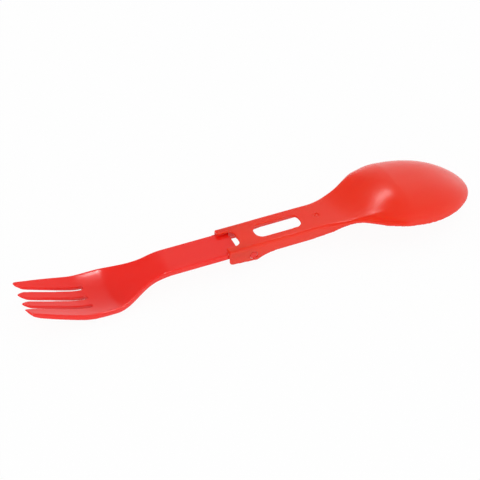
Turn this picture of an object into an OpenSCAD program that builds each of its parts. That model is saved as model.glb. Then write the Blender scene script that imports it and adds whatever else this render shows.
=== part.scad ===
// Folding camping cutlery, moulded in two halves. The spoon half ends in a hinge yoke.
// The fork half has two ears that snap into the yoke, and it swings down and under.
// X runs along the object towards the spoon and Z is up. The origin is on the handle's
// top face, straight above the hinge axis. The halves are drawn unfolded.

/* [Spoon handle] */
// Width across the spoon half's handle
handle_w = 16.4; // [15.6:0.1:18]
// Thickness of the handle's top plate
plate_t = 0.9; // [0.7:0.1:1.4]
// Thickness of the side walls where they meet the top plate
wall_t = 1.0; // [0.8:0.1:1.3]
// Thickness of the side walls at their lower edges
wall_edge_t = 0.5; // [0.4:0.1:0.7]
// Radius of the handle's upper long edges
handle_edge_r = 1.0; // [0.5:0.1:1.2]
// Distance from the hinge axis to where the handle starts to flare
neck_reach = 25.4; // [24.6:0.1:28]

/* [Hinge] */
// Distance from the hinge axis back to the yoke's mouth
yoke_reach = 10.6; // [9.6:0.1:12]
// Depth of the yoke's side walls at its mouth
mouth_d = 6.4; // [5.6:0.1:7]
// Radius of the lower corner of each wall at the mouth
mouth_r = 1.5; // [0.8:0.1:2.5]
// Distance past the hinge axis over which the deep walls rise to the handle's depth
yoke_run = 10.6; // [8.5:0.1:12.5]
// Radius of the rounded end of each fork ear
ear_r = 2.05; // [1.9:0.05:2.2]
// Thickness of each fork ear
ear_t = 1.5; // [1.2:0.1:2]
// Radius of the round stub on the outside of each ear
stub_r = 1.62; // [1.3:0.01:1.8]
// Chamfer round the end of each stub
stub_chamfer = 0.3; // [0.1:0.05:0.5]
// Radial clearance between a stub and its hole
stub_clear = 0.08; // [0.02:0.01:0.1]
// Distance that each stub's end lies below the wall's outer face
stub_recess = 0.1; // [0:0.05:0.2]
// Gap between an ear's rounded end and the plate above it
ear_gap = 1.85; // [1.7:0.05:2.1]
// Height of wall left below an ear's rounded end
ear_cover = 0.6; // [0.3:0.05:0.9]
// Gap between each ear and the wall beside it
side_clear = 0.1; // [0.05:0.01:0.2]
// Gap between the unfolded fork's seats and the plate above them
seat_clear = 0.15; // [0.05:0.05:0.3]
// Height of each ear's seat above the fork handle's top face
seat_h = 0.7; // [0.5:0.1:0.8]
// Gap between the folded fork handle and the side walls above it
fold_clear = 0.25; // [0.1:0.05:0.5]

/* [Notch and window] */
// Width of the thumb notch in the yoke's mouth
notch_w = 9.4; // [7:0.1:11]
// Length of the thumb notch
notch_l = 6.5; // [5.5:0.1:7.4]
// Radius of the notch's inner corners
notch_r = 2.4; // [1.5:0.1:3.4]
// Length of the window through the handle
window_l = 20.2; // [14:0.1:20.6]
// Width of the window
window_w = 7.7; // [6.8:0.1:9]
// Corner radius of the window
window_r = 3.3; // [2:0.1:3.4]
// Distance from the hinge axis to the window
window_gap = 3.8; // [3.4:0.1:4.6]
// Distance from the hinge axis to the moulding gate's mark
gate_reach = 31.5; // [28.5:0.1:32]
// Radius of the gate mark's shallow recess
gate_r = 1.2; // [0.8:0.1:1.6]
// Depth of the gate mark's recess
gate_depth = 0.2; // [0.1:0.05:0.4]

/* [Spoon bowl] */
// Distance from the hinge axis to the spoon's tip
spoon_reach = 101.8; // [98:0.1:106]
// Distance from the hinge axis to the bowl's widest place
widest_reach = 71.8; // [70:0.1:75]
// Distance from the hinge axis to the bowl's highest place
crown_reach = 67.4; // [66:0.1:70]
// Width of the bowl
bowl_w = 42.8; // [39:0.1:45]
// Height of the bowl's crown above the handle's top face
crown_h = 6.8; // [5.5:0.1:7.5]
// Depth of the bowl's rim at the tip below the handle's top face
tip_drop = 4.4; // [3.9:0.1:5]
// Thickness of the bowl
bowl_t = 1.5; // [1.2:0.1:1.8]

/* [Fork handle] */
// Width across the fork half's handle
fork_w = 14.4; // [14.1:0.1:14.5]
// Depth of the fork half's edges
fork_d = 2.4; // [2:0.1:2.8]
// Radius of the fork half's upper long edges
fork_edge_r = 0.5; // [0.3:0.1:0.7]
// Thickness of the fork handle's plate
fork_plate_t = 1.4; // [1.1:0.1:1.8]
// Width of the rib under each long edge of the fork handle
rib_w = 1.2; // [0.8:0.1:1.6]
// Distance from the hinge axis to the end of the fork handle's plate
plate_gap = 5.6; // [4.8:0.1:6.4]
// Distance from the hinge axis to where the fork's neck starts to drop
fork_neck_reach = 34.6; // [33:0.1:36]

/* [Fork head] */
// Distance from the hinge axis to the tips of the tines
fork_reach = 95.3; // [92:0.1:98]
// Width of the fork head at its widest
head_w = 26.2; // [23:0.1:28]
// Width across the fork head at the tips of the tines
tips_w = 19.8; // [18:0.1:21]
// Distance from the hinge axis to the lowest place of the fork's rim
belly_reach = 64.6; // [63:0.1:66]
// Depth of that place below the fork handle's top face
belly_drop = 5.75; // [4.6:0.05:6]
// Height that the tines rise from the belly to their tips
tine_rise = 7.8; // [6.5:0.1:9]
// Depth of the hollow across the fork head
hollow_d = 2.4; // [1.8:0.1:2.8]
// Thickness of the fork head
head_t = 2.1; // [1.7:0.1:2.4]
// Thickness of the inner tines ahead of their points
tine_t = 1.3; // [1:0.1:1.8]
// Depth of the outer tines' edges ahead of their points
tine_edge_d = 2.1; // [1.6:0.1:2.4]
// Thickness of each tine's very point
point_t = 0.6; // [0.4:0.1:1]
// Length over which each tine's underside rises to its point
bevel_l = 5.4; // [4:0.1:7]
// Length of the slots between the tines
slot_l = 27.1; // [24:0.1:27.5]
// Width of the slots at their rounded roots
slot_w = 1.9; // [1.5:0.1:2.3]
// Width of the slots ahead of the tines' points
tip_slot_w = 2.1; // [1.6:0.1:2.5]
// Length of each tine's rounded point
point_l = 3.2; // [2:0.1:4]

/* [Hidden] */
$fn = 48;
// Overrun of every cut past the faces that it goes through
over = 1;
// Depth of the hinge axis below the top face, from what stacks up above it
hinge_d = plate_t + ear_gap + ear_r;
// Depth of the fork handle's top face, and the side walls' depth that the folded fork leaves
fork_top = plate_t + seat_clear + seat_h;
handle_d = 2 * hinge_d - fork_top - fork_d - fold_clear;
yoke_d = hinge_d + ear_r + ear_cover;
hole_r = stub_r + stub_clear;
// The deep part of the yoke's walls ends a little past the hinge axis
yoke_hold = stub_r;
// Half widths across the hinge, from the outside in
half_w = handle_w / 2;
inner_w = half_w - wall_t;
tongue_w = inner_w - side_clear;
fork_half_w = fork_w / 2;
// The fork handle's shoulder stands this far in front of the yoke's mouth, and the seats
// start as far inside it
shoulder_gap = 0.3;
shoulder_reach = yoke_reach + shoulder_gap;
// The bowl's flare, as shares of the way from the neck to the widest place and of the extra width
flare_shares = [[0, 0], [0.15, 0], [0.24, 0.06], [0.32, 0.135], [0.4, 0.22], [0.47, 0.34],
    [0.56, 0.555], [0.64, 0.745], [0.73, 0.87], [0.83, 0.97], [1, 1]];
// The rim's depth past the neck, as shares of the way to the tip and of the tip's drop
rim_shares = [[0, 1.02], [0.08, 0.96], [0.13, 0.82], [0.18, 0.47], [0.235, 0.185], [0.29, 0.04],
    [0.34, 0.03], [0.42, 0.12], [0.53, 0.355], [0.66, 0.625], [0.81, 0.82], [1, 0.945]];
// Where the channel section starts and ends its change to the bowl's domed section
morph_shares = [0.2, 0.5];
// Where the top face starts to rise to the crown, as a share of the crown's reach
rise_share = 0.54;
// Roundness of the plan outline, the crown's fall to the tip and the domed section
plan_power = 1.95;
crown_power = 3;
dome_power = 2.4;
// Radius of the channel's inner edges, as a share of the outer ones
inner_edge_share = 0.1;
// Segments across the spoon's section, and stations along its parts
dome_steps = 24;
neck_stations = 17;
nose_stations = 13;
yoke_stations = 5;
corner_stations = 4;
// Flat left at the very tip of the bowl
nose_flat = 0.1;
// How the fork head widens, as shares of the way from the neck to the belly
widen_shares = [0.23, 0.87];
drop_end_share = 0.84;
hollow_shares = [0.16, 0.9];
hollow_fade_share = 0.15;
// Start of the tines' rise and its rounding, as shares of the belly's distance to the tips
rise_start_share = 0.21;
rise_round_share = 0.09;
// Segments across the fork, and stations along it
fork_steps = 18;
fork_stations = 24;
point_stations = 5;
// Width of the slope between a rib and the plate
rib_slope = 0.3;
// The rounding of the upper edges is kept under this share of their depth
edge_round_share = 0.25;
// Middle place of that rounding, as a share of its radius in from the edge
edge_mid_share = 0.3;
// Places of the three slots across the head: at their roots and at the tines' points
slot_root_shares = [0.475, 0.045, -0.405];
slot_tip_shares = [0.603, 0.018, -0.526];
// Widths of the three slots at the tines' points, as shares of the middle one
slot_width_shares = [1.1, 1, 0.87];
// Where each tine's point lies across its tine. The last tine is cut off slantwise, so its
// point lies near its inner edge.
tip_lean_shares = [0.56, 0.5, 0.5, 0.86];
point_power = 1.4;
round_steps = 10;

function mix(a, b, t) = a + (b - a) * t;
function clamp(t) = min(1, max(0, t));
function ease(a, b, x) = let (t = clamp((x - a) / (b - a))) t * t * (3 - 2 * t);

// A smooth curve through a table of [place, value], level with its chords
function slope(tab, i) =
    let (a = max(0, i - 1), b = min(len(tab) - 1, i + 1)) (tab[b][1] - tab[a][1]) / (tab[b][0] - tab[a][0]);
function cell(tab, x, i = 0) = (i >= len(tab) - 2 || x < tab[i + 1][0]) ? i : cell(tab, x, i + 1);
function curve(tab, x) =
    let (i = cell(tab, x), p = tab[i], q = tab[i + 1], d = q[0] - p[0], t = clamp((x - p[0]) / d))
    mix(p[1], q[1], t * t * (3 - 2 * t))
        + d * t * (1 - t) * (slope(tab, i) * (1 - t) - slope(tab, i + 1) * t);

// Spoon half: outline, rim depth and crown height along X

// The bowl's half width, for its outside (inset 0) and its hollow (inset by the thickness)
function spoon_half_w(x, inset) =
    let (flare = curve(flare_shares, (x - neck_reach) / (widest_reach - neck_reach)),
        front = clamp((x - widest_reach) / (spoon_reach - inset - widest_reach)),
        wall = mix(min(wall_t, inset), inset, ease(neck_reach, widest_reach, x)))
    mix(half_w, bowl_w / 2, flare) * pow(1 - pow(front, plan_power), 1 / plan_power)
        - wall * (1 - pow(front, crown_power));

// The side walls' lower edge up to the neck: mouth corner, slope to the hinge, rise to the handle
function wall_depth(x) =
    let (along = x + yoke_reach, in_corner = clamp(1 - along / mouth_r))
    mix(mouth_d, yoke_d, clamp(along / (yoke_reach + yoke_hold)))
        - (yoke_d - handle_d) * (1 - pow(1 - clamp((x - yoke_hold) / (yoke_run - yoke_hold)), 2))
        - mouth_r * (1 - sqrt(1 - in_corner * in_corner));

function rim_z(x) = x < neck_reach ? -wall_depth(x)
    : -curve(rim_shares, (x - neck_reach) / (spoon_reach - neck_reach))
        * mix(handle_d / rim_shares[0][1], tip_drop, ease(neck_reach, crown_reach, x));

function crown_z(x) = crown_h * ease(crown_reach * rise_share, crown_reach, x);

// Height of the section above the rim, for the outside or for the hollow under a thickness
function dome_h(x, inset) =
    let (thick = inset == 0 ? 0 : mix(plate_t, bowl_t, ease(neck_reach, crown_reach, x)),
        fall = clamp((x - crown_reach) / (spoon_reach - inset - crown_reach)))
    x < crown_reach ? crown_z(x) - rim_z(x) - thick
        : (crown_h - rim_z(crown_reach) - thick) * (1 - pow(fall, crown_power));

// A point of a channel section: up the wall, which leans out to its lower edge, round the
// corner and over the plate
function channel_point(t, w, h, r, lean) =
    let (u = min(4 * t, 4 - 4 * t), c = 4 / dome_steps, k = clamp((u - 1 + c) / (2 * c)), a = 90 * k,
        side = t <= 0.5 ? 1 : -1)
    u < 1 - c ? [side * (w + lean * (1 - u / (1 - c))), (h - r) * u / (1 - c)]
        : u <= 1 + c ? [side * (w - r + r * cos(a)), h - r + r * sin(a)]
        : [side * (w - r) * (2 - u) / (1 - c), h];

function dome_point(t, w, h) =
    [w * sign(cos(180 * t)) * pow(abs(cos(180 * t)), 2 / dome_power), h * sin(180 * t)];

function section(x, inset) =
    let (w = spoon_half_w(x, inset), h = dome_h(x, inset), z = rim_z(x), tip = spoon_reach - neck_reach,
        m = ease(neck_reach + morph_shares[0] * tip, neck_reach + morph_shares[1] * tip, x),
        r = inset == 0 ? handle_edge_r : handle_edge_r * inner_edge_share,
        lean = inset == 0 ? 0 : wall_t - wall_edge_t)
    [for (i = [0 : dome_steps]) let (t = i / dome_steps)
        let (p = mix(channel_point(t, w, h, r, lean), dome_point(t, w, h), m)) [x, p[0], z + p[1]]];

// Skins a row of closed rings, each with the same number of points, and closes both ends of
// a ring that is an outer line followed by an inner line
module skin(rings) {
    n = len(rings[0]);
    last = len(rings) - 1;
    half = n / 2;
    sides = [for (k = [0 : last - 1], i = [0 : n - 1]) let (a = k * n + i, b = k * n + (i + 1) % n)
        each [[a, b + n, b], [a, a + n, b + n]]];
    caps = [for (k = [0, last], i = [0 : half - 2])
        let (a = k * n + i, b = a + 1, c = k * n + n - 2 - i, d = c + 1)
        each (k == 0 ? [[a, b, c], [a, c, d]] : [[a, c, b], [a, d, c]])];
    polyhedron(points = [for (r = rings, p = r) p], faces = concat(sides, caps), convexity = 8);
}

function reversed(list) = [for (i = [len(list) - 1 : -1 : 0]) list[i]];

// Stations of the outside, and for each the place of the hollow's station, which ends short
function spoon_stations() = concat(
    [for (i = [0 : corner_stations - 1]) -yoke_reach + mouth_r * pow(i / corner_stations, 2)],
    [-yoke_reach + mouth_r],
    [for (i = [0 : yoke_stations]) mix(yoke_hold, yoke_run, i / yoke_stations)],
    [for (i = [0 : neck_stations]) mix(neck_reach, widest_reach, i / neck_stations)],
    [for (i = [1 : nose_stations])
        mix(widest_reach, spoon_reach - nose_flat, sin(90 * i / nose_stations))]);

function hollow_station(x) = x < widest_reach ? x
    : mix(widest_reach, spoon_reach - bowl_t - nose_flat,
        (x - widest_reach) / (spoon_reach - nose_flat - widest_reach));

module spoon_shell() {
    skin([for (x = spoon_stations()) concat(section(x, 0), reversed(section(hollow_station(x), bowl_t)))]);
}

module notch() {
    r = notch_r;
    x = notch_l - yoke_reach - r;
    far = yoke_reach + over;
    translate([0, 0, -yoke_d]) linear_extrude(yoke_d + over) {
        translate([-far, -notch_w / 2]) square([x + far, notch_w]);
        translate([x, r - notch_w / 2]) square([r, notch_w - 2 * r]);
        for (side = [-1, 1]) translate([x, side * (notch_w / 2 - r)]) circle(r);
    }
}

module window() {
    r = window_r;
    translate([window_gap, -window_w / 2, -plate_t - over]) linear_extrude(plate_t + 2 * over) {
        translate([r, 0]) square([window_l - 2 * r, window_w]);
        translate([0, r]) square([window_l, window_w - 2 * r]);
        for (x = [r, window_l - r], y = [r, window_w - r]) translate([x, y]) circle(r);
    }
}

module gate_mark() {
    translate([gate_reach, 0, -gate_depth]) difference() {
        cylinder(r = gate_r, h = gate_depth + over);
        translate([0, 0, -over]) cylinder(r = gate_r / 2, h = gate_depth / 2 + over);
    }
}

module spoon_half() {
    color([0.91, 0.29, 0.21]) difference() {
        spoon_shell();
        notch();
        window();
        gate_mark();
        translate([0, 0, -hinge_d]) rotate([90, 0, 0])
            cylinder(r = hole_r, h = handle_w + over, center = true);
    }
}

// Fork half: widths and heights along the distance from the hinge axis

function fork_widen(s) = let (run = belly_reach - fork_neck_reach)
    ease(fork_neck_reach + widen_shares[0] * run, fork_neck_reach + widen_shares[1] * run, s);

function head_taper(s) = let (past = max(0, s - belly_reach) / (fork_reach - belly_reach))
    (head_w - tips_w) / 2 * past * past;

function fork_edge_w(s) = mix(fork_half_w, head_w / 2, fork_widen(s)) - head_taper(s);

// A straight rise that starts round: it is one tine_rise high at the tips
function rise_shape(s) = let (run = fork_reach - belly_reach, u = s - belly_reach - rise_start_share * run)
    u + sqrt(u * u + pow(rise_round_share * run, 2));
function rise(s) = let (low = rise_shape(belly_reach))
    s < belly_reach ? 0 : tine_rise * (rise_shape(s) - low) / (rise_shape(fork_reach) - low);

function fork_edge_z(s) =
    let (end = mix(fork_neck_reach, belly_reach, drop_end_share))
    -fork_top - belly_drop * ease(fork_neck_reach, end, s) + rise(s);

function hollow(s) = let (run = belly_reach - fork_neck_reach, w = fork_edge_w(s) / (head_w / 2))
    hollow_d * w * w * (1 - hollow_fade_share * clamp((s - belly_reach) / (fork_reach - belly_reach)))
        * ease(fork_neck_reach + hollow_shares[0] * run, fork_neck_reach + hollow_shares[1] * run, s);

// Places across the fork: rounded edge, rib, slope, then even steps over the plate
function across(w) = let (inner = w - rib_w - rib_slope, n = fork_steps - 4,
        out = [w, w - fork_edge_r * edge_mid_share, w - fork_edge_r, w - rib_w])
    concat(out, [for (i = [0 : n]) inner * (1 - 2 * i / n)], -reversed(out));

// How far the rounding of an edge lowers the top face
function edge_fall(y, w, r) = let (k = clamp((abs(y) - w + fork_edge_r) / fork_edge_r))
    r * (1 - sqrt(1 - k * k));

// The rounding fades out over a share of the way at the handle's shoulder
function fork_ring(s, w, round_share = 1) =
    let (z = fork_edge_z(s), sag = hollow(s), ys = across(w),
        along = clamp((s - belly_reach) / (fork_reach - belly_reach)),
        bevel = pow(clamp((s - fork_reach + bevel_l) / bevel_l), 2),
        edge = mix(mix(fork_d, tine_edge_d, along), point_t, bevel),
        plate = mix(mix(mix(fork_plate_t, head_t, fork_widen(s)), tine_t, along), point_t, bevel),
        r = round_share * min(fork_edge_r, edge * edge_round_share))
    concat(
        [for (y = ys) [-s, y, z - sag * (1 - y * y / (w * w)) - edge_fall(y, w, r)]],
        [for (y = reversed(ys)) let (d = abs(y) > w - rib_w - rib_slope / 2 ? edge : plate)
            [-s, y, z - sag * (1 - y * y / (w * w)) - d]]);

function fork_stations_list() = concat(
    [fork_reach + over],
    [for (i = [0 : point_stations]) fork_reach - bevel_l * i / point_stations],
    [for (i = [1 : fork_stations]) mix(fork_reach - bevel_l, fork_neck_reach, i / fork_stations)]);

module fork_sheet() {
    skin(concat(
        [for (s = fork_stations_list()) fork_ring(s, fork_edge_w(s))],
        [fork_ring(shoulder_reach + 2 * rib_w, fork_half_w), fork_ring(shoulder_reach, fork_half_w, 0)]));
}

// Half of a tine's width, from 1 where its point starts to 0 at its tip
function point_shape(t) = pow(1 - pow(t, point_power), 1 / point_power);

// One side of a slot where the tines' points start
function slot_side(i, side) = slot_tip_shares[i] * tips_w / 2 + side * slot_width_shares[i] * tip_slot_w / 2;

// The near and far edge of each tine there
function tine_edges(i) = let (out = fork_edge_w(fork_reach - point_l) + over / 4)
    [i == 3 ? -out : slot_side(i, 1), i == 0 ? out : slot_side(i - 1, -1)];

function tine_point(i) =
    let (edge = tine_edges(i), tip = mix(edge[0], edge[1], tip_lean_shares[i]), start = fork_reach - point_l)
    concat(
        [for (k = [0 : round_steps]) let (t = sin(90 * k / round_steps))
            [-start - point_l * t, mix(tip, edge[1], point_shape(t))]],
        [for (k = [round_steps - 1 : -1 : 0]) let (t = sin(90 * k / round_steps))
            [-start - point_l * t, mix(tip, edge[0], point_shape(t))]]);

function slot_root(i) =
    let (root = fork_reach - slot_l, g = slot_w / 2, y = slot_root_shares[i] * head_w / 2)
    [for (k = [0 : round_steps]) let (a = 180 * k / round_steps) [-root - g + g * sin(a), y + g * cos(a)]];

// Everything past the tines, with the slots between them, as one comb-shaped outline
module comb() {
    far = fork_reach + 3 * over;
    wide = head_w;
    start = fork_reach - point_l;
    outline = concat(
        [[-far, wide], [-start, wide]], tine_point(0), slot_root(0), tine_point(1), slot_root(1),
        tine_point(2), slot_root(2), tine_point(3), [[-start, -wide], [-far, -wide]]);
    translate([0, 0, -fork_top - belly_drop - hollow_d - fork_d - over])
        linear_extrude(belly_drop + hollow_d + fork_d + tine_rise + 2 * over) polygon(outline);
}

// The fork handle's end inside the yoke, with the ears and their stubs
module tongue() {
    root = shoulder_reach + rib_w;
    length = root - plate_gap;
    translate([-root, -tongue_w, -fork_top - fork_plate_t]) cube([length, 2 * tongue_w, fork_plate_t]);
    for (side = [-1, 1]) scale([1, side, 1]) {
        translate([0, tongue_w, 0]) rotate([90, 0, 0]) linear_extrude(ear_t) ear_profile();
        translate([0, tongue_w - ear_t / 2, -hinge_d]) rotate([-90, 0, 0]) stub();
    }
}

module ear_profile() {
    root = shoulder_reach + rib_w;
    seat = [shoulder_gap - yoke_reach, -plate_t - seat_clear];
    translate([0, -hinge_d]) circle(ear_r);
    polygon([[-root, -fork_top], [seat[0], -fork_top], seat, [-ear_r / 2, seat[1]], [0, ear_r - hinge_d],
        [0, -fork_top - fork_d], [-root, -fork_top - fork_d]]);
}

module stub() {
    length = half_w - stub_recess - tongue_w + ear_t / 2;
    cylinder(r = stub_r, h = length - stub_chamfer);
    translate([0, 0, length - stub_chamfer])
        cylinder(r1 = stub_r, r2 = stub_r - stub_chamfer, h = stub_chamfer);
}

module fork_half() {
    color([0.91, 0.29, 0.21]) {
        difference() {
            fork_sheet();
            comb();
        }
        tongue();
    }
}

spoon_half();
fork_half();
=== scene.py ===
import math
import bpy
from mathutils import Matrix, Vector


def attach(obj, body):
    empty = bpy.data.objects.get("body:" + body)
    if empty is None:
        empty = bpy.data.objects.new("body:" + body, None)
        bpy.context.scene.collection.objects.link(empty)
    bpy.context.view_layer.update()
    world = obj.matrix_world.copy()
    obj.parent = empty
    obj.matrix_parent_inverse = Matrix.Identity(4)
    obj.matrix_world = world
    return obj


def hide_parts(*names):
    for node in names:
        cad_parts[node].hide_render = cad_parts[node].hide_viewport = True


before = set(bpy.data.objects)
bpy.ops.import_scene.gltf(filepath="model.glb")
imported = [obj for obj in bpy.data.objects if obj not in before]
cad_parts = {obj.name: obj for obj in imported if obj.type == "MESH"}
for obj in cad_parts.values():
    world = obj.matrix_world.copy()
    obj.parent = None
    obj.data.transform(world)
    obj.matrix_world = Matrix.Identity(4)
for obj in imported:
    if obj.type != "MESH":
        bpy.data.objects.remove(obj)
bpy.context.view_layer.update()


# Spoon half: one moulding of glossy red plastic, a channel-shaped handle that opens into a
# domed bowl. Its outer and inner skins are each pulled along the handle from a drawn section,
# joined round the rim, cut, and given the soft edges that a mould leaves. Drawn in millimetres.

HALF_WIDTH = 8.2
PLATE = 0.9
WALL, WALL_EDGE = 1.0, 0.5
BOWL_WALL = 1.5
MOUTH, MOUTH_DEPTH, MOUTH_CORNER, MOUTH_ROUND = -10.6, 6.4, 1.5, 0.5
YOKE_DEPTH, YOKE_END, YOKE_FADE = 7.45, 1.62, 10.6
HANDLE_DEPTH = 5.2
ROUNDED_OFF = 0.15
CORNER_SHARE, CORNER_SQUASH = 0.19, 0.62
CORNER_BAND, CORNER_TURN = 0.17, 6
PLAN_POWER, DOME_POWER = 1.95, 2.4
CROWN_START_SHARE = 0.54
BOWL_START_SHARE, BOWL_FULL_SHARE = 0.2, 0.5
TIP_STOP = 0.02
CUTTER_TOP, CUTTER_DEPTH = 1, 4
NECK, CROWN, WIDEST, TIP = 25.4, 67.4, 71.8, 101.8
BOWL_HALF_WIDTH, CROWN_HEIGHT, TIP_DROP = 21.4, 6.77, 4.4
FLARE = [(0, 0), (0.15, 0), (0.24, 0.06), (0.32, 0.135), (0.4, 0.22), (0.47, 0.34),
         (0.56, 0.555), (0.64, 0.745), (0.73, 0.87), (0.83, 0.97), (1, 1)]
RIM = [(0, 1.02), (0.08, 0.96), (0.13, 0.82), (0.18, 0.47), (0.235, 0.185), (0.29, 0.04),
       (0.34, 0.03), (0.42, 0.12), (0.53, 0.355), (0.66, 0.625), (0.81, 0.82), (1, 0.945)]
HINGE_DEPTH = 4.8
HINGE_HOLE = 1.68


def mix(a, b, t):
    return a + (b - a) * t


def clamp(t):
    return min(1.0, max(0.0, t))


def ease(a, b, x):
    t = clamp((x - a) / (b - a))
    return t * t * (3 - 2 * t)


def follow(table, x):
    i = 0
    while i < len(table) - 2 and x >= table[i + 1][0]:
        i += 1

    def slope(k):
        a, b = max(0, k - 1), min(len(table) - 1, k + 1)
        return (table[b][1] - table[a][1]) / (table[b][0] - table[a][0])

    p, q = table[i], table[i + 1]
    d = q[0] - p[0]
    t = clamp((x - p[0]) / d)
    return mix(p[1], q[1], t * t * (3 - 2 * t)) + d * t * (1 - t) * (slope(i) * (1 - t) - slope(i + 1) * t)


def wall_depth(x):
    along = x - MOUTH
    corner = clamp(1 - along / MOUTH_CORNER)
    depth = mix(MOUTH_DEPTH, YOKE_DEPTH, clamp(along / (YOKE_END - MOUTH)))
    past = 1 - clamp((x - YOKE_END) / (YOKE_FADE - YOKE_END))
    depth -= (YOKE_DEPTH - HANDLE_DEPTH) * (1 - past * past)
    depth += ROUNDED_OFF * (1 - ease(YOKE_FADE, NECK, x))
    return depth - MOUTH_CORNER * (1 - math.sqrt(1 - corner * corner))


def rim_height(x):
    if x < NECK:
        return -wall_depth(x)
    drop = mix(HANDLE_DEPTH / RIM[0][1], TIP_DROP, ease(NECK, CROWN, x))
    return -follow(RIM, (x - NECK) / (TIP - NECK)) * drop


def half_width(x, inset):
    front = clamp((x - WIDEST) / (TIP - inset - WIDEST))
    wall = mix(min(WALL, inset), inset, ease(NECK, WIDEST, x))
    wide = mix(HALF_WIDTH, BOWL_HALF_WIDTH, follow(FLARE, (x - NECK) / (WIDEST - NECK)))
    if not inset:
        corner = clamp(1 - (x - MOUTH) / MOUTH_ROUND)
        wide -= MOUTH_ROUND * (1 - math.sqrt(1 - corner * corner))
    return wide * (1 - front ** PLAN_POWER) ** (1 / PLAN_POWER) - wall * (1 - front ** 3)


def section_height(x, inset):
    thick = mix(PLATE, BOWL_WALL, ease(NECK, CROWN, x)) if inset else 0
    if x < CROWN:
        return CROWN_HEIGHT * ease(CROWN * CROWN_START_SHARE, CROWN, x) - rim_height(x) - thick
    fall = clamp((x - CROWN) / (TIP - inset - CROWN))
    return (CROWN_HEIGHT - rim_height(CROWN) - thick) * (1 - fall ** 3)


def draw_line(name, points):
    """Draw a line of edges point by point, starting from one corner of a plane."""
    bpy.ops.object.select_all(action="DESELECT")
    bpy.ops.mesh.primitive_plane_add(size=1, location=(0, 0, 0))
    line = bpy.context.object
    line.name = name
    bpy.ops.object.mode_set(mode="EDIT")
    bpy.ops.mesh.select_mode(type="VERT")
    bpy.ops.mesh.merge(type="CENTER")
    bpy.ops.transform.translate(value=points[0])
    for a, b in zip(points, points[1:]):
        step = (b[0] - a[0], b[1] - a[1], b[2] - a[2])
        bpy.ops.mesh.extrude_region_move(TRANSFORM_OT_translate={"value": step})
    bpy.ops.mesh.select_all(action="SELECT")
    return line


def pull_sheet(name, profile, rows):
    """Pull a drawn unit section through rows of place, base height, half width and height."""
    x, base, wide, high = rows[0]
    sheet = draw_line(name, [(x, wide * y, base + high * z) for y, z in profile])
    for row in rows[1:]:
        step = (row[0] - x, 0, row[1] - base)
        bpy.ops.mesh.extrude_region_move(TRANSFORM_OT_translate={"value": step})
        scale = (1, row[2] / wide, row[3] / high)
        bpy.ops.transform.resize(value=scale, center_override=(row[0], 0, row[1]))
        x, base, wide, high = row
    bpy.ops.object.mode_set(mode="OBJECT")
    return sheet


def choose(*things):
    bpy.ops.object.select_all(action="DESELECT")
    for thing in things:
        thing.select_set(True)
    bpy.context.view_layer.objects.active = things[0]


def join_skins(outer, inner, name):
    """Join an outer and an inner skin round their edges into one closed wall."""
    choose(outer, inner)
    bpy.ops.object.join()
    outer.name = name
    bpy.ops.object.mode_set(mode="EDIT")
    bpy.ops.mesh.select_all(action="DESELECT")
    bpy.ops.mesh.select_non_manifold()
    bpy.ops.mesh.bridge_edge_loops()
    bpy.ops.mesh.select_all(action="SELECT")
    bpy.ops.mesh.normals_make_consistent(inside=False)
    bpy.ops.object.mode_set(mode="OBJECT")
    return outer


def cut(piece, cutter, operation="DIFFERENCE"):
    """Cut a piece with another, or weld the two, and remove the other."""
    choose(piece)
    step = piece.modifiers.new("cut", "BOOLEAN")
    step.object = cutter
    step.operation = operation
    step.solver = "EXACT"
    bpy.ops.object.modifier_apply(modifier=step.name)
    choose(cutter)
    bpy.ops.object.delete()


def drop_face(outline, depth):
    """Fill a drawn closed line and give it depth, as a cutter or a plate."""
    bpy.ops.mesh.edge_face_add()
    bpy.ops.mesh.extrude_region_move(TRANSFORM_OT_translate={"value": depth})
    bpy.ops.mesh.select_all(action="SELECT")
    bpy.ops.mesh.normals_make_consistent(inside=False)
    bpy.ops.object.mode_set(mode="OBJECT")
    return outline


def moulded(piece, grid, passes):
    """Give all edges of a piece the small radius of a moulding, and bring it to metres."""
    choose(piece)
    skin = piece.modifiers.new("even skin", "REMESH")
    skin.mode = "VOXEL"
    skin.voxel_size = grid
    bpy.ops.object.modifier_apply(modifier=skin.name)
    soft = piece.modifiers.new("soft edges", "SMOOTH")
    soft.factor = 0.5
    soft.iterations = passes
    bpy.ops.object.modifier_apply(modifier=soft.name)
    bpy.ops.object.mode_set(mode="EDIT")
    bpy.ops.mesh.select_all(action="SELECT")
    bpy.ops.transform.resize(value=(0.001, 0.001, 0.001), center_override=(0, 0, 0))
    bpy.ops.object.mode_set(mode="OBJECT")
    bpy.ops.object.shade_smooth()


def channel_section(steps, lean, corner):
    """Up a wall, over the plate and down the other wall, with or without rounded corners."""
    points = []
    for k in range(steps + 1):
        u = min(4 * k / steps, 4 - 4 * k / steps)
        side = 1 if 2 * k <= steps else -1
        y, z = min(1, 2 - u), min(1, u)
        if corner and abs(u - 1) < CORNER_BAND:
            turn = math.pi / 4 * (1 + (u - 1) * CORNER_TURN)
            y = 1 - CORNER_SQUASH * corner * (1 - math.cos(turn))
            z = 1 - corner * (1 - math.sin(turn))
        points.append((side * (y + lean * (1 - z)), z))
    return points


def dome_section(steps):
    points = []
    for k in range(steps + 1):
        a = math.pi * k / steps
        c = 0 if 2 * k == steps else math.cos(a)
        points.append((math.copysign(abs(c) ** (2 / DOME_POWER), c), math.sin(a)))
    return points


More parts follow.
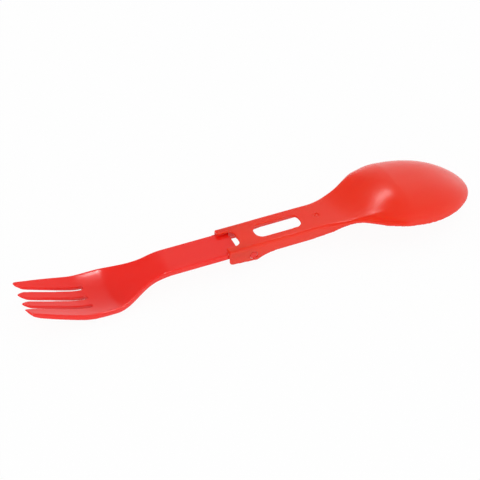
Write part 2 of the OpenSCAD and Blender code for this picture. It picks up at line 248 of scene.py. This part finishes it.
def spoon_places():
    places = [MOUTH + MOUTH_CORNER * (k / 6) ** 2 for k in range(6)]
    places += [mix(MOUTH + MOUTH_CORNER, YOKE_END, k / 8) for k in range(8)]
    places += [mix(YOKE_END, YOKE_FADE, k / 10) for k in range(10)]
    places += [mix(YOKE_FADE, NECK, k / 8) for k in range(8)]
    places += [mix(NECK, WIDEST, k / 48) for k in range(48)]
    places += [mix(WIDEST, TIP - TIP_STOP, math.sin(math.pi / 2 * k / 32)) for k in range(33)]
    return places


def spoon_skin(name, inset):
    rows = []
    for x in spoon_places():
        if inset and x > WIDEST:
            x = mix(WIDEST, TIP - inset - TIP_STOP, (x - WIDEST) / (TIP - TIP_STOP - WIDEST))
        rows.append((x, rim_height(x), half_width(x, inset), section_height(x, inset)))
    lean = (WALL - WALL_EDGE) / (HALF_WIDTH - WALL) if inset else 0
    corner = 0 if inset else CORNER_SHARE
    skin = pull_sheet(name, channel_section(48, lean, corner), rows)
    dome = pull_sheet("bowl", dome_section(48), rows)
    choose(skin, dome)
    bpy.ops.object.join_shapes()
    choose(dome)
    bpy.ops.object.delete()
    choose(skin)
    share = skin.vertex_groups.new(name="bowl")
    start, end = mix(NECK, TIP, BOWL_START_SHARE), mix(NECK, TIP, BOWL_FULL_SHARE)
    for v in skin.data.vertices:
        share.add([v.index], ease(start, end, v.co.x), "REPLACE")
    key = skin.data.shape_keys.key_blocks[-1]
    key.vertex_group = share.name
    key.value = 1
    skin.active_shape_key_index = 1
    bpy.ops.object.shape_key_remove(all=True, apply_mix=True)
    skin.vertex_groups.clear()
    return skin


outer = spoon_skin("spoon_outer", 0)
inner = spoon_skin("spoon_inner", BOWL_WALL)
spoon = join_skins(outer, inner, "spoon_half_shell")

# Thumb notch in the yoke's mouth, open at its end
NOTCH_END, NOTCH_HALF_WIDTH, NOTCH_CORNER = -4.1, 4.7, 2.4
x, y = NOTCH_END - NOTCH_CORNER, NOTCH_HALF_WIDTH - NOTCH_CORNER
notch = [(MOUTH - 2, -NOTCH_HALF_WIDTH, CUTTER_TOP)]
for side in (-1, 1):
    for k in range(13):
        a = math.radians(7.5 * (k if side < 0 else 12 - k))
        notch.append((x + NOTCH_CORNER * math.sin(a), side * (y + NOTCH_CORNER * math.cos(a)), CUTTER_TOP))
notch.append((MOUTH - 2, NOTCH_HALF_WIDTH, CUTTER_TOP))
cut(spoon, drop_face(draw_line("notch", notch), (0, 0, -CUTTER_DEPTH)))

# Long window through the handle's plate
WINDOW_START, WINDOW_END, WINDOW_CORNER, WINDOW_STRAIGHT = 3.8, 24, 3.3, 0.55
near, far = WINDOW_START + WINDOW_CORNER, WINDOW_END - WINDOW_CORNER
corners = [(near, -WINDOW_STRAIGHT), (far, -WINDOW_STRAIGHT), (far, WINDOW_STRAIGHT), (near, WINDOW_STRAIGHT)]
window = []
for (x, y), start in zip(corners, (180, 270, 0, 90)):
    for k in range(13):
        a = math.radians(start + 7.5 * k)
        window.append((x + WINDOW_CORNER * math.cos(a), y + WINDOW_CORNER * math.sin(a), CUTTER_TOP))
cut(spoon, drop_face(draw_line("window", window), (0, 0, -CUTTER_DEPTH)))

# Hinge holes through both side walls
bpy.ops.object.select_all(action="DESELECT")
bpy.ops.mesh.primitive_cylinder_add(
    vertices=48, radius=HINGE_HOLE, depth=20,
    location=(0, 0, -HINGE_DEPTH), rotation=(math.pi / 2, 0, 0))
cut(spoon, bpy.context.object)

# Gate mark where the plastic was let into the mould, made a little wider and deeper than the
# real one so that it outlasts the even skin, with a low boss in its middle
GATE_REACH, GATE_RADIUS, GATE_DEPTH = 31.5, 1.3, 0.5
BOSS_RADIUS, BOSS_HEIGHT = 0.6, 0.6
bpy.ops.mesh.primitive_cylinder_add(
    vertices=32, radius=GATE_RADIUS, depth=2 * GATE_DEPTH, location=(GATE_REACH, 0, 0))
cut(spoon, bpy.context.object)
bpy.ops.mesh.primitive_cylinder_add(
    vertices=24, radius=BOSS_RADIUS, depth=BOSS_HEIGHT, location=(GATE_REACH, 0, -GATE_DEPTH))
cut(spoon, bpy.context.object, "UNION")

moulded(spoon, 0.3, 2)
spoon.name = "spoon_half_plastic"


def grain_group():
    """Fine mould grain, flow in the colour and handling marks, for any moulded plastic."""
    group = bpy.data.node_groups.new("moulded_plastic", "ShaderNodeTree")
    face = group.interface
    for name, start in (("Grain Size", 2600.0), ("Flow Size", 60.0), ("Mark Size", 420.0)):
        socket = face.new_socket(name=name, in_out="INPUT", socket_type="NodeSocketFloat")
        socket.default_value = start
    for name in ("Flow", "Marks", "Height"):
        face.new_socket(name=name, in_out="OUTPUT", socket_type="NodeSocketFloat")
    nodes, links = group.nodes, group.links
    given = nodes.new("NodeGroupInput")
    out = nodes.new("NodeGroupOutput")
    place = nodes.new("ShaderNodeTexCoord")
    grain = nodes.new("ShaderNodeTexNoise")
    grain.inputs["Detail"].default_value = 3.0
    grain.inputs["Roughness"].default_value = 0.6
    flow = nodes.new("ShaderNodeTexNoise")
    flow.inputs["Detail"].default_value = 4.0
    flow.inputs["Distortion"].default_value = 0.6
    marks = nodes.new("ShaderNodeTexNoise")
    marks.inputs["Detail"].default_value = 6.0
    marks.inputs["Roughness"].default_value = 0.7
    stretch = nodes.new("ShaderNodeMapping")
    stretch.inputs["Scale"].default_value = (0.35, 1.0, 1.0)
    links.new(place.outputs["Object"], stretch.inputs["Vector"])
    links.new(place.outputs["Object"], grain.inputs["Vector"])
    links.new(stretch.outputs["Vector"], flow.inputs["Vector"])
    links.new(stretch.outputs["Vector"], marks.inputs["Vector"])
    links.new(given.outputs["Grain Size"], grain.inputs["Scale"])
    links.new(given.outputs["Flow Size"], flow.inputs["Scale"])
    links.new(given.outputs["Mark Size"], marks.inputs["Scale"])
    links.new(flow.outputs["Fac"], out.inputs["Flow"])
    links.new(marks.outputs["Fac"], out.inputs["Marks"])
    links.new(grain.outputs["Fac"], out.inputs["Height"])
    return group


moulded_plastic = grain_group()


def red_plastic(name, dark, light):
    """Glossy red plastic that lets a little light through its thin walls."""
    material = bpy.data.materials.new(name)
    material.use_nodes = True
    nodes, links = material.node_tree.nodes, material.node_tree.links
    skin = nodes["Principled BSDF"]
    skin.inputs["IOR"].default_value = 1.49
    skin.inputs["Subsurface Weight"].default_value = 0.75
    skin.inputs["Subsurface Radius"].default_value = (1.0, 0.12, 0.06)
    skin.inputs["Subsurface Scale"].default_value = 0.003
    effect = nodes.new("ShaderNodeGroup")
    effect.node_tree = moulded_plastic
    colour = nodes.new("ShaderNodeValToRGB")
    colour.color_ramp.elements[0].position = 0.3
    colour.color_ramp.elements[0].color = dark
    colour.color_ramp.elements[1].position = 0.7
    colour.color_ramp.elements[1].color = light
    links.new(effect.outputs["Flow"], colour.inputs["Fac"])
    links.new(colour.outputs["Color"], skin.inputs["Base Color"])
    gloss = nodes.new("ShaderNodeMapRange")
    gloss.inputs["From Min"].default_value = 0.35
    gloss.inputs["From Max"].default_value = 0.7
    gloss.inputs["To Min"].default_value = 0.19
    gloss.inputs["To Max"].default_value = 0.23
    links.new(effect.outputs["Marks"], gloss.inputs["Value"])
    links.new(gloss.outputs["Result"], skin.inputs["Roughness"])
    bump = nodes.new("ShaderNodeBump")
    bump.inputs["Strength"].default_value = 0.08
    bump.inputs["Distance"].default_value = 0.00006
    links.new(effect.outputs["Height"], bump.inputs["Height"])
    links.new(bump.outputs["Normal"], skin.inputs["Normal"])
    return material


spoon.data.materials.clear()
red = red_plastic("spoon_red_plastic", (0.88, 0.026, 0.004, 1), (0.90, 0.032, 0.006, 1))
spoon.data.materials.append(red)
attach(spoon, "spoon_half")
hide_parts("spoon_half")


# Fork half: the second moulding in the same plastic, a thin ribbed handle whose end has two
# ears with round stubs. The stubs snap into the yoke's holes and turn there. The head is
# hollowed, and three slots part its four tines.

FORK_TOP = -1.75
FORK_HALF_WIDTH = 7.2
SHOULDER, FORK_NECK, BELLY, POINTS = 10.9, 34.6, 64.6, 95.3
HEAD_HALF_WIDTH, TIPS_HALF_WIDTH = 13.1, 9.9
BELLY_DROP, TINE_RISE = 5.75, 7.8
RISE_START_SHARE, RISE_ROUND_SHARE = 0.21, 0.09
HEAD_START_SHARE, HEAD_FULL_SHARE = 0.23, 0.87
HOLLOW, HOLLOW_FADE = 2.4, 0.15
HOLLOW_START_SHARE, HOLLOW_FULL_SHARE = 0.16, 0.9
EDGE_DEPTH, TINE_EDGE_DEPTH = 2.4, 2.1
HANDLE_PLATE, HEAD_PLATE, TINE_PLATE = 1.4, 2.095, 1.3
BEVEL, POINT_PLATE = 5.4, 0.6
TINE_POINT = 3.2
SLOT_LENGTH = 27.1
SLIVER = 0.001


def head_share(s):
    run = BELLY - FORK_NECK
    return ease(FORK_NECK + HEAD_START_SHARE * run, FORK_NECK + HEAD_FULL_SHARE * run, s)


def fork_half_width(s):
    taper = (HEAD_HALF_WIDTH - TIPS_HALF_WIDTH) * (max(0, s - BELLY) / (POINTS - BELLY)) ** 2
    return mix(FORK_HALF_WIDTH, HEAD_HALF_WIDTH, head_share(s)) - taper


def rise_shape(s):
    run = POINTS - BELLY
    u = s - BELLY - RISE_START_SHARE * run
    return u + math.sqrt(u * u + (RISE_ROUND_SHARE * run) ** 2)


def fork_edge_height(s):
    drop = BELLY_DROP * ease(FORK_NECK, mix(FORK_NECK, BELLY, 0.84), s)
    rise = 0
    if s > BELLY:
        low = rise_shape(BELLY)
        rise = TINE_RISE * (rise_shape(s) - low) / (rise_shape(POINTS) - low)
    return FORK_TOP - drop + rise


def hollow_depth(s):
    run = BELLY - FORK_NECK
    w = fork_half_width(s) / HEAD_HALF_WIDTH
    fade = 1 - HOLLOW_FADE * clamp((s - BELLY) / (POINTS - BELLY))
    start = FORK_NECK + HOLLOW_START_SHARE * run
    full = FORK_NECK + HOLLOW_FULL_SHARE * run
    return HOLLOW * w * w * fade * ease(start, full, s) + SLIVER


def fork_thickness(s):
    """Depth of the edge and thickness of the plate between the edges."""
    along = clamp((s - BELLY) / (POINTS - BELLY))
    bevel = clamp((s - POINTS + BEVEL) / BEVEL) ** 2
    edge = mix(mix(EDGE_DEPTH, TINE_EDGE_DEPTH, along), POINT_PLATE, bevel)
    behind = mix(HANDLE_PLATE, HEAD_PLATE, head_share(s))
    plate = mix(mix(behind, TINE_PLATE, along), POINT_PLATE, bevel)
    return edge, plate


def fork_places():
    places = [POINTS + 1]
    places += [POINTS - BEVEL * k / 10 for k in range(10)]
    places += [mix(POINTS - BEVEL, FORK_NECK, k / 60) for k in range(61)]
    return places + [SHOULDER]


# Columns across the fork: the rounded edges, the two ribs, then even steps over the plate
RIB_SHARE, RIB_MIDDLE_SHARE, RIB_SLOPE_SHARE = 0.833, 0.8, 0.79
ROUND_MIDDLE_SHARE, ROUND_SHARE, ROUND_BAND = 0.98, 0.945, 0.055
columns = [1, ROUND_MIDDLE_SHARE, ROUND_SHARE, RIB_SHARE]
columns += [RIB_SLOPE_SHARE * (1 - k / 18) for k in range(37)]
columns += [-RIB_SHARE, -ROUND_SHARE, -ROUND_MIDDLE_SHARE, -1]
flat_section = [(y, 0) for y in columns]
edge_section = [(y, -clamp((abs(y) - ROUND_SHARE) / ROUND_BAND) ** 2) for y in columns]
hollow_section = [(y, y * y - 1) for y in columns]
rib_section = [(y, -1 if abs(y) > RIB_MIDDLE_SHARE else 0) for y in columns]


def fork_rows(below, height):
    """Rows from the tines' points back to the shoulder, at a depth below the top face."""
    return [(-s, fork_edge_height(s) - below(s), fork_half_width(s), height(s)) for s in fork_places()]


def top_face(s):
    return 0


def plate_under(s):
    return fork_thickness(s)[1]


def rib_depth(s):
    edge, plate = fork_thickness(s)
    return edge - plate + SLIVER


EDGE_ROUND, EDGE_ROUND_LOST = 0.5, 0.3


def edge_round(s):
    return EDGE_ROUND - EDGE_ROUND_LOST * clamp((s - POINTS + BEVEL) / BEVEL)


def fork_sheet(name, below, *forms):
    """A sheet of the fork: a flat one with each of the given forms added to it."""
    sheet = pull_sheet(name, flat_section, fork_rows(below, hollow_depth))
    for section, height in forms:
        form = pull_sheet("form", section, fork_rows(below, height))
        choose(sheet, form)
        bpy.ops.object.join_shapes()
        choose(form)
        bpy.ops.object.delete()
    choose(sheet)
    for key in sheet.data.shape_keys.key_blocks[1:]:
        key.value = 1
    sheet.active_shape_key_index = 1
    bpy.ops.object.shape_key_remove(all=True, apply_mix=True)
    return sheet


hollow = (hollow_section, hollow_depth)
fork = fork_sheet("fork_top", top_face, hollow, (edge_section, edge_round))
under = fork_sheet("fork_underside", plate_under, hollow, (rib_section, rib_depth))
fork = join_skins(fork, under, "fork_half_sheet")


# The comb that parts the tines and rounds their points
SLOT_ROOTS = [6.22, 0.59, -5.31]
SLOT_ENDS = [(4.81, 7.13), (-0.87, 1.23), (-6.08, -4.33)]
SLOT_ROUND = 0.95
TIP_SHARES = (0.56, 0.5, 0.5, 0.86)
TIP_POWER = 1.4
COMB_MARGIN = 0.25
COMB_TOP, COMB_DEPTH, COMB_SIDE, COMB_END = 6, 24, 26, 3


def tine_point(i):
    edge = fork_half_width(POINTS - TINE_POINT) + COMB_MARGIN
    a = -edge if i == 3 else SLOT_ENDS[i][1]
    b = edge if i == 0 else SLOT_ENDS[i - 1][0]
    tip = mix(a, b, TIP_SHARES[i])
    start = POINTS - TINE_POINT
    points = []
    for k in range(33):
        t = math.sin(math.pi * k / 32)
        w = (1 - min(1, t) ** TIP_POWER) ** (1 / TIP_POWER)
        points.append((-start - TINE_POINT * t, mix(tip, b if k < 16 else a, w), COMB_TOP))
    return points


def slot_root(i):
    points = []
    for k in range(25):
        a = math.pi * k / 24
        x = SLOT_ROUND * (math.sin(a) - 1) - POINTS + SLOT_LENGTH
        points.append((x, SLOT_ROOTS[i] + SLOT_ROUND * math.cos(a), COMB_TOP))
    return points


comb = [(-POINTS - COMB_END, COMB_SIDE, COMB_TOP), (-POINTS + TINE_POINT, COMB_SIDE, COMB_TOP)]
for i in range(3):
    comb += tine_point(i) + slot_root(i)
comb += tine_point(3)
comb += [(-POINTS + TINE_POINT, -COMB_SIDE, COMB_TOP), (-POINTS - COMB_END, -COMB_SIDE, COMB_TOP)]
cut(fork, drop_face(draw_line("comb", comb), (0, 0, -COMB_DEPTH)))

# The handle's end inside the yoke: a plate, two ears round the hinge and a stub on each
EAR_RADIUS, EAR_PLACE, EAR_THICKNESS = 2.05, 5.6, 1.5
STUB_RADIUS, STUB_LENGTH, STUB_PLACE = 1.62, 1.75, 7.225
bpy.ops.object.select_all(action="DESELECT")
bpy.ops.mesh.primitive_cube_add(size=1, location=(-8.85, 0, -2.45), scale=(6.5, 14.2, 1.4))
tongue = bpy.context.object
parts = [fork, tongue]
for side in (-1, 1):
    ear = [(-12.1, FORK_TOP), (-10.3, FORK_TOP), (-10.3, -1.05), (-1.02, -1.05)]
    for k in range(34):
        a = math.radians(7.5 * k)
        ear.append((EAR_RADIUS * math.sin(a), EAR_RADIUS * math.cos(a) - HINGE_DEPTH))
    ear += [(-1.94, -4.15), (-12.1, -4.15)]
    outline = draw_line("ear", [(x, side * EAR_PLACE, z) for x, z in ear])
    parts.append(drop_face(outline, (0, side * EAR_THICKNESS, 0)))
    bpy.ops.object.select_all(action="DESELECT")
    bpy.ops.mesh.primitive_cylinder_add(
        vertices=48, radius=STUB_RADIUS, depth=STUB_LENGTH,
        location=(0, side * STUB_PLACE, -HINGE_DEPTH), rotation=(math.pi / 2, 0, 0))
    parts.append(bpy.context.object)
choose(*parts)
bpy.ops.object.join()

moulded(fork, 0.22, 2)
fork.name = "fork_half_plastic"
fork.data.materials.clear()
# The fork's red has less green and a touch more blue than the spoon's. This is painted shade: a copy of the
# same plastic, deepened to stand for the duller light on the fork.
red = red_plastic("fork_red_plastic_painted_shade", (0.88, 0.016, 0.009, 1), (0.90, 0.021, 0.012, 1))
fork.data.materials.append(red)
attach(fork, "fork_half")
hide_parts("fork_half")


# Floor: a plain white sheet just under the object. The camera and reflections see it as almost
# white paper, and the rest of it keeps the object's soft shadow.
bpy.ops.object.select_all(action="DESELECT")
bpy.ops.mesh.primitive_plane_add(size=3, location=(0, 0, -0.01206))
floor = bpy.context.object
floor.name = "floor"
paper = bpy.data.materials.new("white_paper")
paper.use_nodes = True
nodes, links = paper.node_tree.nodes, paper.node_tree.links
nodes.clear()
out = nodes.new("ShaderNodeOutputMaterial")
matt = nodes.new("ShaderNodeBsdfDiffuse")
matt.inputs["Color"].default_value = (0.9, 0.9, 0.9, 1)
white = nodes.new("ShaderNodeEmission")
white.inputs["Color"].default_value = (1, 1, 1, 1)
white.inputs["Strength"].default_value = 1.0
rays = nodes.new("ShaderNodeLightPath")
share = nodes.new("ShaderNodeMath")
share.operation = "MULTIPLY"
share.inputs[1].default_value = 0.95
blend = nodes.new("ShaderNodeMixShader")
seen = nodes.new("ShaderNodeMath")
seen.operation = "MAXIMUM"
links.new(rays.outputs["Is Camera Ray"], seen.inputs[0])
links.new(rays.outputs["Is Glossy Ray"], seen.inputs[1])
links.new(seen.outputs["Value"], share.inputs[0])
links.new(share.outputs["Value"], blend.inputs["Fac"])
links.new(matt.outputs["BSDF"], blend.inputs[1])
links.new(white.outputs["Emission"], blend.inputs[2])
links.new(blend.outputs["Shader"], out.inputs["Surface"])
floor.data.materials.append(paper)


# Light: two small soft boxes that show only in reflections, one for the bowl's highlight and
# one for the fork head's, a fill from the front that shows in none, and a pale room whose far
# right side is the brightest in reflections.
def soft_box(name, place, aim, size, energy, spread):
    bpy.ops.object.light_add(type="AREA", location=place)
    lamp = bpy.context.object
    lamp.name = name
    lamp.data.shape = "RECTANGLE"
    lamp.data.size, lamp.data.size_y = size
    lamp.data.energy = energy
    lamp.data.spread = math.radians(spread)
    lamp.visible_camera = False
    lamp.rotation_euler = (Vector(aim) - Vector(place)).to_track_quat("-Z", "Y").to_euler()
    return lamp


bowl_box = soft_box("bowl_box", (0.068, 0.065, 0.102), (0.058, -0.006, 0.005), (0.034, 0.012), 0.0008, 50)
fork_box = soft_box("fork_box", (-0.012, 0.05, 0.335), (-0.061, 0.011, -0.008), (0.03, 0.02), 0.014, 30)
bowl_box.visible_diffuse = False
fork_box.visible_diffuse = False
fill = soft_box("front_fill", (-0.3, -0.75, 0.25), (0, 0, 0), (0.8, 0.4), 1.0, 180)
fill.visible_glossy = False

world = bpy.data.worlds.new("pale_room")
bpy.context.scene.world = world
world.use_nodes = True
nodes, links = world.node_tree.nodes, world.node_tree.links
room = nodes["Background"]
room.inputs["Color"].default_value = (1, 1, 1, 1)
rays = nodes.new("ShaderNodeLightPath")
place = nodes.new("ShaderNodeTexCoord")
split = nodes.new("ShaderNodeSeparateXYZ")
side = nodes.new("ShaderNodeMapRange")
side.interpolation_type = "SMOOTHSTEP"
side.inputs["From Min"].default_value = 0.0
side.inputs["From Max"].default_value = 0.32
low = nodes.new("ShaderNodeMapRange")
low.inputs["From Min"].default_value = 0.0
low.inputs["From Max"].default_value = 1.3
low.inputs["To Min"].default_value = 1.0
low.inputs["To Max"].default_value = 0.0
bright = nodes.new("ShaderNodeMath")
bright.operation = "MULTIPLY"
panel = nodes.new("ShaderNodeMapRange")
panel.inputs["To Min"].default_value = 0.18
panel.inputs["To Max"].default_value = 1.1
shown = nodes.new("ShaderNodeMix")
shown.inputs["A"].default_value = 0.9
level = nodes.new("ShaderNodeMix")
level.inputs["B"].default_value = 1.0
links.new(place.outputs["Generated"], split.inputs["Vector"])
links.new(split.outputs["X"], side.inputs["Value"])
links.new(split.outputs["Z"], low.inputs["Value"])
links.new(side.outputs["Result"], bright.inputs[0])
links.new(low.outputs["Result"], bright.inputs[1])
links.new(bright.outputs["Value"], panel.inputs["Value"])
links.new(rays.outputs["Is Glossy Ray"], shown.inputs["Factor"])
links.new(panel.outputs["Result"], shown.inputs["B"])
links.new(rays.outputs["Is Camera Ray"], level.inputs["Factor"])
links.new(shown.outputs["Result"], level.inputs["A"])
links.new(level.outputs["Result"], room.inputs["Strength"])


# Camera: a long lens at the photograph's height and side, framed for a square picture.
lens = bpy.data.cameras.new("camera")
lens.lens = 112.5
lens.sensor_width = 36
lens.clip_start = 0.05
camera = bpy.data.objects.new("camera", lens)
bpy.context.scene.collection.objects.link(camera)
across = Vector((0.91503, -0.40338, 0.0))
upward = Vector((0.25778, 0.58474, 0.76917))
towards = Vector((-0.31027, -0.70381, 0.63904))
camera.matrix_world = Matrix((
    (across.x, upward.x, towards.x, -0.19103),
    (across.y, upward.y, towards.y, -0.42750),
    (across.z, upward.z, towards.z, 0.38610),
    (0, 0, 0, 1)))
bpy.context.scene.camera = camera
bpy.context.scene.view_settings.view_transform = "Standard"
